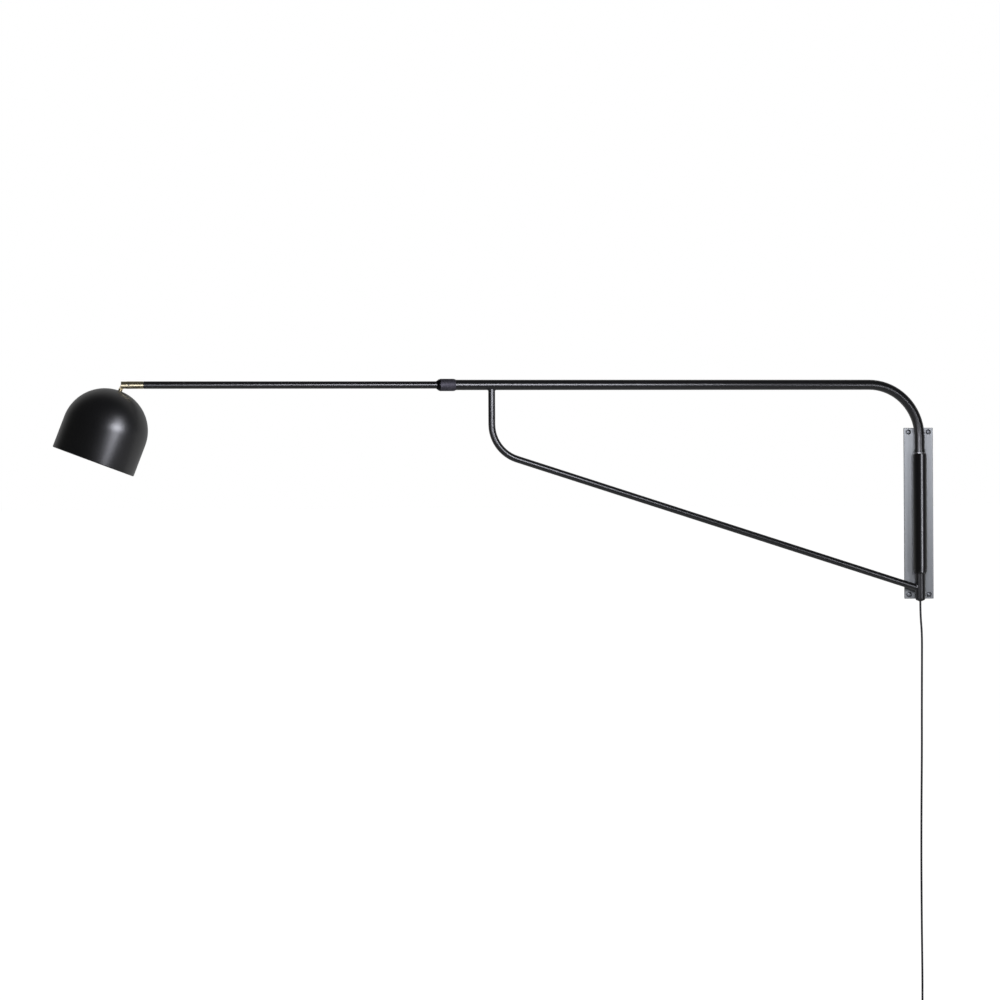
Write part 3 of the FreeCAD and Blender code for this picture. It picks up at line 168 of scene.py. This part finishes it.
def coat_effect():
    """Fine skin of a sprayed or moulded surface: slight orange peel, uneven gloss and tone."""
    group, given, result = new_group(
        "coat_skin",
        [("Colour", "colour"), ("Worn Colour", "colour"), ("Wear", "value"), ("Grain Scale", "value"),
         ("Grain Height", "value"), ("Roughness", "value"), ("Unevenness", "value")],
        [("Colour", "colour"), ("Roughness", "value"), ("Normal", "vector")])
    nodes, links = group.nodes, group.links
    place = nodes.new("ShaderNodeTexCoord")
    grain = nodes.new("ShaderNodeTexNoise")
    grain.inputs["Detail"].default_value = 3
    links.new(place.outputs["Object"], grain.inputs["Vector"])
    links.new(given.outputs["Grain Scale"], grain.inputs["Scale"])
    bump = nodes.new("ShaderNodeBump")
    bump.inputs["Strength"].default_value = 1.0
    links.new(given.outputs["Grain Height"], bump.inputs["Distance"])
    links.new(grain.outputs["Fac"], bump.inputs["Height"])
    links.new(bump.outputs["Normal"], result.inputs["Normal"])
    patches = nodes.new("ShaderNodeTexNoise")
    patches.inputs["Scale"].default_value = 28
    patches.inputs["Detail"].default_value = 5
    links.new(place.outputs["Object"], patches.inputs["Vector"])
    centred = nodes.new("ShaderNodeMath")
    centred.operation = "SUBTRACT"
    centred.inputs[1].default_value = 0.5
    links.new(patches.outputs["Fac"], centred.inputs[0])
    swing = nodes.new("ShaderNodeMath")
    swing.operation = "MULTIPLY_ADD"
    links.new(centred.outputs[0], swing.inputs[0])
    links.new(given.outputs["Unevenness"], swing.inputs[1])
    links.new(given.outputs["Roughness"], swing.inputs[2])
    links.new(swing.outputs[0], result.inputs["Roughness"])
    specks = nodes.new("ShaderNodeTexNoise")
    specks.inputs["Scale"].default_value = 160
    specks.inputs["Detail"].default_value = 6
    links.new(place.outputs["Object"], specks.inputs["Vector"])
    rubbed = nodes.new("ShaderNodeMapRange")
    rubbed.inputs["From Min"].default_value = 0.45
    rubbed.inputs["From Max"].default_value = 0.75
    links.new(specks.outputs["Fac"], rubbed.inputs["Value"])
    amount = nodes.new("ShaderNodeMath")
    amount.operation = "MULTIPLY"
    links.new(rubbed.outputs["Result"], amount.inputs[0])
    links.new(given.outputs["Wear"], amount.inputs[1])
    tone = nodes.new("ShaderNodeMix")
    tone.data_type = "RGBA"
    links.new(amount.outputs[0], tone.inputs["Factor"])
    links.new(given.outputs["Colour"], tone.inputs["A"])
    links.new(given.outputs["Worn Colour"], tone.inputs["B"])
    links.new(tone.outputs["Result"], result.inputs["Colour"])
    return group


coat_skin = coat_effect()


def coated(name, colour, worn, roughness, wear=0.25, grain=500, height=0.000003, uneven=0.08,
           shine=0.5, metallic=0.0):
    """Paint, plastic or rubber with the coat skin; shine is how strongly it mirrors."""
    material, shader = new_material(name, colour, roughness, metallic)
    shader.inputs["Specular IOR Level"].default_value = shine
    nodes, links = material.node_tree.nodes, material.node_tree.links
    skin = nodes.new("ShaderNodeGroup")
    skin.node_tree = coat_skin
    skin.inputs["Colour"].default_value = (*colour, 1)
    skin.inputs["Worn Colour"].default_value = (*worn, 1)
    skin.inputs["Wear"].default_value = wear
    skin.inputs["Grain Scale"].default_value = grain
    skin.inputs["Grain Height"].default_value = height
    skin.inputs["Roughness"].default_value = roughness
    skin.inputs["Unevenness"].default_value = uneven
    links.new(skin.outputs["Colour"], shader.inputs["Base Color"])
    links.new(skin.outputs["Roughness"], shader.inputs["Roughness"])
    links.new(skin.outputs["Normal"], shader.inputs["Normal"])
    return material


def dress(material, *nodes):
    """Gives solids of the lamp their finish."""
    for name in nodes:
        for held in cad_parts[name].material_slots:
            held.material = material


sheath = coated("cord_sheath", (0.012, 0.012, 0.014), (0.03, 0.03, 0.033), 0.46, wear=0.3, height=0.00001)
cord.data.materials.append(sheath)
dress(sheath, "arm_lead", "slide_lead")
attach(cord, "wall_mount")
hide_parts("cord_hanging", "cord_coil", "cord_tail")

# ---------------------------------------------------------------- wall plate and screws
# Flat bar of stainless steel, brushed lengthwise, with its edges broken. Four pan-head screws
# with a cross recess hold it, one in each corner.


def brushed_effect():
    """Brushing or turning marks: noise drawn out along one direction of a mapped coordinate."""
    group, given, result = new_group(
        "drawn_marks",
        [("Vector", "vector"), ("Colour", "colour"), ("Dark Colour", "colour"), ("Mark Height", "value"),
         ("Roughness", "value"), ("Unevenness", "value")],
        [("Colour", "colour"), ("Roughness", "value"), ("Normal", "vector")])
    nodes, links = group.nodes, group.links
    fine = nodes.new("ShaderNodeTexNoise")
    fine.inputs["Scale"].default_value = 1.0
    fine.inputs["Detail"].default_value = 4
    links.new(given.outputs["Vector"], fine.inputs["Vector"])
    bump = nodes.new("ShaderNodeBump")
    bump.inputs["Strength"].default_value = 1.0
    links.new(given.outputs["Mark Height"], bump.inputs["Distance"])
    links.new(fine.outputs["Fac"], bump.inputs["Height"])
    links.new(bump.outputs["Normal"], result.inputs["Normal"])
    broad = nodes.new("ShaderNodeTexNoise")
    broad.inputs["Scale"].default_value = 0.16
    broad.inputs["Detail"].default_value = 3
    links.new(given.outputs["Vector"], broad.inputs["Vector"])
    tone = nodes.new("ShaderNodeMix")
    tone.data_type = "RGBA"
    links.new(broad.outputs["Fac"], tone.inputs["Factor"])
    links.new(given.outputs["Colour"], tone.inputs["A"])
    links.new(given.outputs["Dark Colour"], tone.inputs["B"])
    links.new(tone.outputs["Result"], result.inputs["Colour"])
    centred = nodes.new("ShaderNodeMath")
    centred.operation = "SUBTRACT"
    centred.inputs[1].default_value = 0.5
    links.new(fine.outputs["Fac"], centred.inputs[0])
    swing = nodes.new("ShaderNodeMath")
    swing.operation = "MULTIPLY_ADD"
    links.new(centred.outputs[0], swing.inputs[0])
    links.new(given.outputs["Unevenness"], swing.inputs[1])
    links.new(given.outputs["Roughness"], swing.inputs[2])
    links.new(swing.outputs[0], result.inputs["Roughness"])
    return group


drawn_marks = brushed_effect()


def marked(name, colour, dark, roughness, stretch, turn=(0, 0, 0), height=0.00001, uneven=0.25):
    """Bare metal with brushing or turning marks; stretch is how fine they are each way."""
    material, shader = new_material(name, colour, roughness, metallic=1.0)
    nodes, links = material.node_tree.nodes, material.node_tree.links
    place = nodes.new("ShaderNodeTexCoord")
    turned = nodes.new("ShaderNodeMapping")
    turned.vector_type = "TEXTURE"
    turned.inputs["Rotation"].default_value = turn
    links.new(place.outputs["Object"], turned.inputs["Vector"])
    scaled = nodes.new("ShaderNodeVectorMath")
    scaled.operation = "MULTIPLY"
    scaled.inputs[1].default_value = stretch
    links.new(turned.outputs["Vector"], scaled.inputs[0])
    marks = nodes.new("ShaderNodeGroup")
    marks.node_tree = drawn_marks
    links.new(scaled.outputs["Vector"], marks.inputs["Vector"])
    marks.inputs["Colour"].default_value = (*colour, 1)
    marks.inputs["Dark Colour"].default_value = (*dark, 1)
    marks.inputs["Mark Height"].default_value = height
    marks.inputs["Roughness"].default_value = roughness
    marks.inputs["Unevenness"].default_value = uneven
    links.new(marks.outputs["Colour"], shader.inputs["Base Color"])
    links.new(marks.outputs["Roughness"], shader.inputs["Roughness"])
    links.new(marks.outputs["Normal"], shader.inputs["Normal"])
    return material


plate_steel = marked("plate_steel", (0.375, 0.388, 0.385), (0.27, 0.28, 0.285), 0.45, (900, 900, 6),
                     height=0.000004)
screw_steel = marked("screw_steel", (0.29, 0.30, 0.31), (0.20, 0.21, 0.22), 0.45, (700, 700, 700))
dress(plate_steel, "wall_plate")
dress(screw_steel, "wall_screw_1", "wall_screw_2", "wall_screw_3", "wall_screw_4")

# ---------------------------------------------------------------- sleeve, bushes and post
# Steel tube and turned bushes, sprayed satin black all over. The sleeve is welded to the plate
# along both sides, and the post turns in the bushes on a plain steel washer.
tube_black = coated("tube_black", (0.0025, 0.0025, 0.003), (0.005, 0.005, 0.006), 0.29,
                    height=0.0000003, uneven=0.03, shine=1.0)
bush_black = coated("bush_black", (0.004, 0.004, 0.005), (0.009, 0.009, 0.010), 0.31, shine=1.0)
washer_steel = marked("washer_steel", (0.5, 0.5, 0.5), (0.4, 0.4, 0.4), 0.35, (500, 500, 500))
dress(tube_black, "bearing_sleeve", "arm_tube", "stop_ring", "brace_tube", "slide_tube")
dress(bush_black, "upper_bush", "lower_bush", "sleeve_weld_left", "sleeve_weld_right",
      "brace_weld_upper", "brace_weld_lower")
dress(washer_steel, "thrust_washer")

# ---------------------------------------------------------------- cap, outlet and set screw
# Moulded black cap pressed into the foot of the post, held by a small set screw, with a soft
# rubber bush round the cord.
cap_black = coated("cap_black", (0.014, 0.014, 0.015), (0.03, 0.03, 0.03), 0.38, height=0.00004)
outlet_rubber = coated("outlet_rubber", (0.016, 0.016, 0.016), (0.03, 0.03, 0.03), 0.6, height=0.00005)
screw_black = marked("screw_black", (0.09, 0.09, 0.10), (0.05, 0.05, 0.055), 0.4, (900, 900, 900))
dress(cap_black, "post_cap")
dress(outlet_rubber, "cord_outlet")
dress(screw_black, "cap_screw", "swivel_screw")

# ---------------------------------------------------------------- lock collar
# Turned collar with a dry, pitted grey finish on the grip and a plain black nose, over a slotted
# brass collet.
ARM_SWING = math.radians(10)
ARM_TURN = (0, 0, ARM_SWING)
ARM_OUTWARDS = Vector((-math.cos(ARM_SWING), -math.sin(ARM_SWING), 0))
GRIP_END = 1.1629
NOSE_BLACK = (0.02, 0.02, 0.023, 1)
NOSE_ROUGHNESS = 0.35
collar_grey = coated("collar_grey", (0.10, 0.095, 0.114), (0.17, 0.163, 0.19), 0.66, wear=0.8,
                     grain=900, height=0.00008, metallic=1.0)
nodes, links = collar_grey.node_tree.nodes, collar_grey.node_tree.links
skin = next(node for node in nodes if node.type == "GROUP")
shader = nodes["Principled BSDF"]
place = nodes.new("ShaderNodeTexCoord")
along_arm = nodes.new("ShaderNodeVectorMath")
along_arm.operation = "DOT_PRODUCT"
along_arm.inputs[1].default_value = ARM_OUTWARDS
links.new(place.outputs["Object"], along_arm.inputs[0])
nose = nodes.new("ShaderNodeMath")
nose.operation = "GREATER_THAN"
nose.inputs[1].default_value = GRIP_END
links.new(along_arm.outputs["Value"], nose.inputs[0])
nose_tone = nodes.new("ShaderNodeMix")
nose_tone.data_type = "RGBA"
nose_tone.inputs["B"].default_value = NOSE_BLACK
links.new(nose.outputs[0], nose_tone.inputs["Factor"])
links.new(skin.outputs["Colour"], nose_tone.inputs["A"])
links.new(nose_tone.outputs["Result"], shader.inputs["Base Color"])
nose_gloss = nodes.new("ShaderNodeMix")
nose_gloss.inputs["B"].default_value = NOSE_ROUGHNESS
links.new(nose.outputs[0], nose_gloss.inputs["Factor"])
links.new(skin.outputs["Roughness"], nose_gloss.inputs["A"])
links.new(nose_gloss.outputs["Result"], shader.inputs["Roughness"])
collet_brass = marked("collet_brass", (0.62, 0.50, 0.28), (0.45, 0.36, 0.2), 0.3, (1500, 30, 30),
                      ARM_TURN)
dress(collar_grey, "lock_collar")
dress(collet_brass, "collet")

# ---------------------------------------------------------------- slide tube
# The thin tube that slides in the arm, with a white guide on its inner end and the swivel
# plug in its outer end.
guide_white = coated("guide_white", (0.72, 0.71, 0.68), (0.6, 0.59, 0.56), 0.45)
swivel_black = coated("swivel_black", (0.012, 0.012, 0.013), (0.03, 0.03, 0.03), 0.3)
dress(guide_white, "rear_guide")
dress(swivel_black, "swivel_plug")

# ---------------------------------------------------------------- ferrule, pin and knuckle
# Brass turned from bar: the ferrule is forked for the knuckle, which holds the shade.
ferrule_brass = marked("ferrule_brass", (0.80, 0.72, 0.50), (0.66, 0.58, 0.38), 0.26,
                       (1800, 40, 40), ARM_TURN, height=0.0000015)
knuckle_brass = marked("knuckle_brass", (0.55, 0.47, 0.30), (0.40, 0.34, 0.21), 0.3, (700, 700, 700))
dress(ferrule_brass, "ferrule", "pivot_pin")
dress(knuckle_brass, "knuckle")

# ---------------------------------------------------------------- shade
# Dome on a straight skirt, spun from 1 mm sheet, with its edge rolled inwards and a hole for the
# knuckle's shank. It is sprayed satin black outside and white inside.
SHADE_PIN = Vector((-1.852226, -0.346597, 0.308))
SHADE_OFFSET = 0.0026
SHADE_TILT = math.radians(20.9)
SHADE_RADIUS = 0.096
SHADE_WALL = 0.001
SHADE_TOP = 0.0153
SHADE_FLAT = 0.007
SHADE_HOLE = 0.0032
SHADE_RIM = 0.185544
HEM_RADIUS = 0.0024
SHADE_STEPS = 128
DOME_STEPS = 28
HEM_STEPS = 8
MERGE_DISTANCE = 0.00001

shade_down = ARM_OUTWARDS * math.sin(SHADE_TILT) - Vector((0, 0, math.cos(SHADE_TILT)))
shade_out = ARM_OUTWARDS * math.cos(SHADE_TILT) + Vector((0, 0, math.sin(SHADE_TILT)))
shade_origin = SHADE_PIN + shade_out * SHADE_OFFSET
sphere_depth = SHADE_TOP + math.sqrt(SHADE_RADIUS ** 2 - SHADE_FLAT ** 2)


def dome_line(radius, top):
    """The dome's outline from the edge of its flat down to the skirt, as (radius, depth)."""
    flat_angle = math.acos(min((sphere_depth - top) / radius, 1.0))
    points = []
    for step in range(DOME_STEPS + 1):
        angle = flat_angle + (math.pi / 2 - flat_angle) * step / DOME_STEPS
        points.append((radius * math.sin(angle), sphere_depth - radius * math.cos(angle)))
    return points


hem_depth = SHADE_RIM - HEM_RADIUS
hem_middle = SHADE_RADIUS - HEM_RADIUS
outside = [(SHADE_HOLE, SHADE_TOP)] + dome_line(SHADE_RADIUS, SHADE_TOP)
hem = []
for step in range(HEM_STEPS + 1):
    angle = math.radians(-180) * step / HEM_STEPS
    hem.append((hem_middle + HEM_RADIUS * math.cos(angle), hem_depth - HEM_RADIUS * math.sin(angle)))
inside = [(SHADE_HOLE, SHADE_TOP + SHADE_WALL)]
inside += dome_line(SHADE_RADIUS - SHADE_WALL, SHADE_TOP + SHADE_WALL)
inside.append((SHADE_RADIUS - SHADE_WALL, hem_depth))

shade_mesh = bmesh.new()
profile = outside + hem + inside[::-1]
ring_verts = [shade_mesh.verts.new(shade_origin + shade_out * radius + shade_down * depth)
              for radius, depth in profile]
ring_edges = [shade_mesh.edges.new(pair) for pair in zip(ring_verts, ring_verts[1:] + ring_verts[:1])]
bmesh.ops.spin(shade_mesh, geom=ring_verts + ring_edges, cent=shade_origin, axis=shade_down,
               angle=2 * math.pi, steps=SHADE_STEPS, use_merge=True)
bmesh.ops.remove_doubles(shade_mesh, verts=shade_mesh.verts, dist=MERGE_DISTANCE)
bmesh.ops.recalc_face_normals(shade_mesh, faces=shade_mesh.faces)

# Faces nearer the dome's middle than the middle of the wall are the white inside; the rest and
# the hem are black.
inside_limit = SHADE_RADIUS - SHADE_WALL * 0.6
for face in shade_mesh.faces:
    middle = face.calc_center_median() - shade_origin
    depth = middle.dot(shade_down)
    radius = (middle - shade_down * depth).length
    from_centre = Vector((radius, 0, min(depth - sphere_depth, 0))).length
    face.material_index = 1 if from_centre < inside_limit and depth < hem_depth else 0
shade_data = bpy.data.meshes.new("shade_spun")
shade_mesh.to_mesh(shade_data)
shade_mesh.free()
shade_data.shade_smooth()
shade_data.set_sharp_from_angle(angle=math.radians(35))
shade = bpy.data.objects.new("shade_spun", shade_data)
bpy.context.scene.collection.objects.link(shade)

shade_black = coated("shade_black", (0.002, 0.002, 0.0025), (0.0035, 0.0035, 0.004), 0.34,
                     grain=400, height=0.000004, shine=1.0)
shade_white = coated("shade_white", (0.72, 0.71, 0.69), (0.62, 0.61, 0.59), 0.45, wear=0.3)
shade_data.materials.append(shade_black)
shade_data.materials.append(shade_white)
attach(shade, "shade_group")
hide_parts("shade")
zinc = marked("zinc", (0.62, 0.62, 0.62), (0.45, 0.46, 0.48), 0.35, (600, 600, 600))
dress(zinc, "shade_washer", "shade_nut")

# ---------------------------------------------------------------- lamp holder and bulb
# Moulded black holder on the knuckle's shank, with a brass screw shell and contact, and an opal
# bulb in it.
holder_black = coated("holder_black", (0.02, 0.02, 0.02), (0.04, 0.04, 0.04), 0.4, height=0.00004)
shell_brass = marked("shell_brass", (0.66, 0.55, 0.34), (0.5, 0.42, 0.26), 0.3, (500, 500, 500))
base_metal = marked("base_metal", (0.75, 0.75, 0.76), (0.6, 0.6, 0.62), 0.3, (500, 500, 500))
opal = coated("opal", (0.86, 0.85, 0.82), (0.80, 0.79, 0.76), 0.3, height=0.000005)
dress(holder_black, "holder_cap", "holder_body")
dress(shell_brass, "holder_shell", "holder_contact")
dress(base_metal, "bulb_base")
dress(opal, "bulb_glass")

# ---------------------------------------------------------------- tie and plug
# The coil's tie and the plug body are moulded in the same black plastic; the two blades are
# brass.
plug_black = coated("plug_black", (0.02, 0.02, 0.022), (0.045, 0.045, 0.047), 0.45, height=0.00005)
blade_brass = marked("blade_brass", (0.70, 0.60, 0.38), (0.55, 0.46, 0.28), 0.3, (600, 600, 60))
dress(plug_black, "plug_body", "coil_tie")
dress(blade_brass, "plug_blade_1", "plug_blade_2")

# ---------------------------------------------------------------- floor and light
# White floor, surroundings that are pale towards the wall side and dark in front as the lamp
# mirrors them, and five soft boxes in front, each flagged off all but its own pieces.
FLOOR_HEIGHT = -1.42
FLOOR_HALF = 30.0
FLOOR_FRONT = -3.0
floor_mesh = bpy.data.meshes.new("floor")
sheet = bmesh.new()
bmesh.ops.create_grid(sheet, x_segments=1, y_segments=1, size=FLOOR_HALF)
bmesh.ops.translate(sheet, verts=sheet.verts, vec=(0, FLOOR_FRONT + FLOOR_HALF, FLOOR_HEIGHT))
sheet.to_mesh(floor_mesh)
sheet.free()
floor = bpy.data.objects.new("floor", floor_mesh)
bpy.context.scene.collection.objects.link(floor)


def combined(nodes, links, operation, first, second):
    """A math node fed by two outputs, or by an output and a number."""
    step = nodes.new("ShaderNodeMath")
    step.operation = operation
    links.new(first, step.inputs[0])
    if isinstance(second, float):
        step.inputs[1].default_value = second
    else:
        links.new(second, step.inputs[1])
    return step.outputs[0]


FLOOR_GLOW = 0.85
FLOOR_MIRRORED = 0.25
MIRRORED_FROM = 0.5
floor_white, floor_shader = new_material("floor_white", (0.45, 0.45, 0.45), 0.9)
floor_shader.inputs["Specular IOR Level"].default_value = 0.0
nodes, links = floor_white.node_tree.nodes, floor_white.node_tree.links
path = nodes.new("ShaderNodeLightPath")
place = nodes.new("ShaderNodeTexCoord")
axes = nodes.new("ShaderNodeSeparateXYZ")
links.new(place.outputs["Object"], axes.inputs["Vector"])
behind_lamp = combined(nodes, links, "GREATER_THAN", axes.outputs["Y"], MIRRORED_FROM)
mirrored = combined(nodes, links, "MULTIPLY", path.outputs["Is Glossy Ray"], behind_lamp)
direct = combined(nodes, links, "MAXIMUM", path.outputs["Is Camera Ray"],
                  path.outputs["Is Transmission Ray"])
glow = combined(nodes, links, "MAXIMUM", combined(nodes, links, "MULTIPLY", mirrored, FLOOR_MIRRORED),
                combined(nodes, links, "MULTIPLY", direct, FLOOR_GLOW))
floor_shader.inputs["Emission Color"].default_value = (1, 1, 1, 1)
links.new(glow, floor_shader.inputs["Emission Strength"])
floor_mesh.materials.append(floor_white)

PALE_SIDE = (0.15, 0.98, 0)
PALE_RANGE = (0.05, 0.75)
MIRRORED_RANGE = (0.035, 0.40)
SURROUNDINGS_LIGHT = 0.40
SURROUNDINGS_SEEN = 1.0
world = bpy.data.worlds.new("studio")
bpy.context.scene.world = world
world.use_nodes = True
nodes, links = world.node_tree.nodes, world.node_tree.links
nodes.clear()
output = nodes.new("ShaderNodeOutputWorld")
path = nodes.new("ShaderNodeLightPath")
place = nodes.new("ShaderNodeTexCoord")
towards_pale = nodes.new("ShaderNodeVectorMath")
towards_pale.operation = "DOT_PRODUCT"
links.new(place.outputs["Generated"], towards_pale.inputs[0])
towards_pale.inputs[1].default_value = PALE_SIDE
pale = nodes.new("ShaderNodeMapRange")
pale.interpolation_type = "SMOOTHSTEP"
pale.inputs["From Min"].default_value, pale.inputs["From Max"].default_value = PALE_RANGE
pale.inputs["To Min"].default_value, pale.inputs["To Max"].default_value = MIRRORED_RANGE
links.new(towards_pale.outputs["Value"], pale.inputs["Value"])


def backdrop(strength):
    """White surroundings whose strength is a number or comes from an output."""
    white = nodes.new("ShaderNodeBackground")
    white.inputs["Color"].default_value = (1, 1, 1, 1)
    if isinstance(strength, float):
        white.inputs["Strength"].default_value = strength
    else:
        links.new(strength, white.inputs["Strength"])
    return white.outputs[0]


by_gloss = nodes.new("ShaderNodeMixShader")
links.new(path.outputs["Is Glossy Ray"], by_gloss.inputs["Fac"])
links.new(backdrop(SURROUNDINGS_LIGHT), by_gloss.inputs[1])
links.new(backdrop(pale.outputs["Result"]), by_gloss.inputs[2])
by_sight = nodes.new("ShaderNodeMixShader")
links.new(combined(nodes, links, "MAXIMUM", path.outputs["Is Camera Ray"],
                   path.outputs["Is Transmission Ray"]), by_sight.inputs["Fac"])
links.new(by_gloss.outputs[0], by_sight.inputs[1])
links.new(backdrop(SURROUNDINGS_SEEN), by_sight.inputs[2])
links.new(by_sight.outputs[0], output.inputs["Surface"])


BOX_COLOUR = (0.90, 0.91, 1.0)


def soft_box(name, shape, width, height, place, towards, upright, brightness):
    """A soft box at a place, facing a point, its height along the upright direction."""
    lamp = bpy.data.lights.new(name, "AREA")
    lamp.shape = shape
    lamp.size = width
    lamp.size_y = height
    filled = math.pi / 4 if shape == "ELLIPSE" else 1
    lamp.energy = brightness * math.pi * width * height * filled
    lamp.color = BOX_COLOUR
    box = bpy.data.objects.new(name, lamp)
    back = (Vector(place) - Vector(towards)).normalized()
    side = Vector(upright).cross(back).normalized()
    turn = Matrix((side, back.cross(side), back)).transposed()
    box.matrix_world = Matrix.Translation(place) @ turn.to_4x4()
    box.visible_camera = False
    bpy.context.scene.collection.objects.link(box)
    return box


def light_only(lamp, *pieces):
    """Flags a soft box off everything but these pieces."""
    lit = bpy.data.collections.new("lit_by_" + lamp.name)
    for piece in pieces:
        lit.objects.link(piece)
    lamp.light_linking.receiver_collection = lit


SLEEVE_PIECES = ("bearing_sleeve", "upper_bush", "lower_bush", "sleeve_weld_left", "sleeve_weld_right")
sleeve = [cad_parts[name] for name in SLEEVE_PIECES]
others = [cord, floor] + [piece for name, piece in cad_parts.items()
                          if name not in SLEEVE_PIECES + ("shade",)]
arm_box = soft_box("arm_box", "ELLIPSE", 1.6, 0.42, (-0.5, -1.78, 0.46), (-0.5, 0, 0.46),
                   (0, 0, 1), 13.5)
end_box = soft_box("end_box", "RECTANGLE", 0.6, 0.5, (-1.55, -1.78, 0.03), (-1.55, 0, 0.03),
                   (0, 0, 1), 3.2)
post_box = soft_box("post_box", "RECTANGLE", 0.34, 0.58, (1.0, -1.78, -0.09), (1.0, 0, -0.09),
                    (0, 0, 1), 9.0)
sleeve_box = soft_box("sleeve_box", "RECTANGLE", 0.34, 0.8, (0.92, -1.78, -0.02), (0.92, 0, -0.02),
                      (0, 0, 1), 18.0)
shade_box = soft_box("shade_box", "RECTANGLE", 0.6, 2.3, (-0.466, -1.966, 0.316), (-1.90, -0.40, 0.20),
                     (0.35, 0.06, 0.93), 4.4)
light_only(arm_box, *others, shade)
light_only(end_box, *others)
light_only(post_box, *others)
light_only(sleeve_box, *sleeve)
light_only(shade_box, shade)
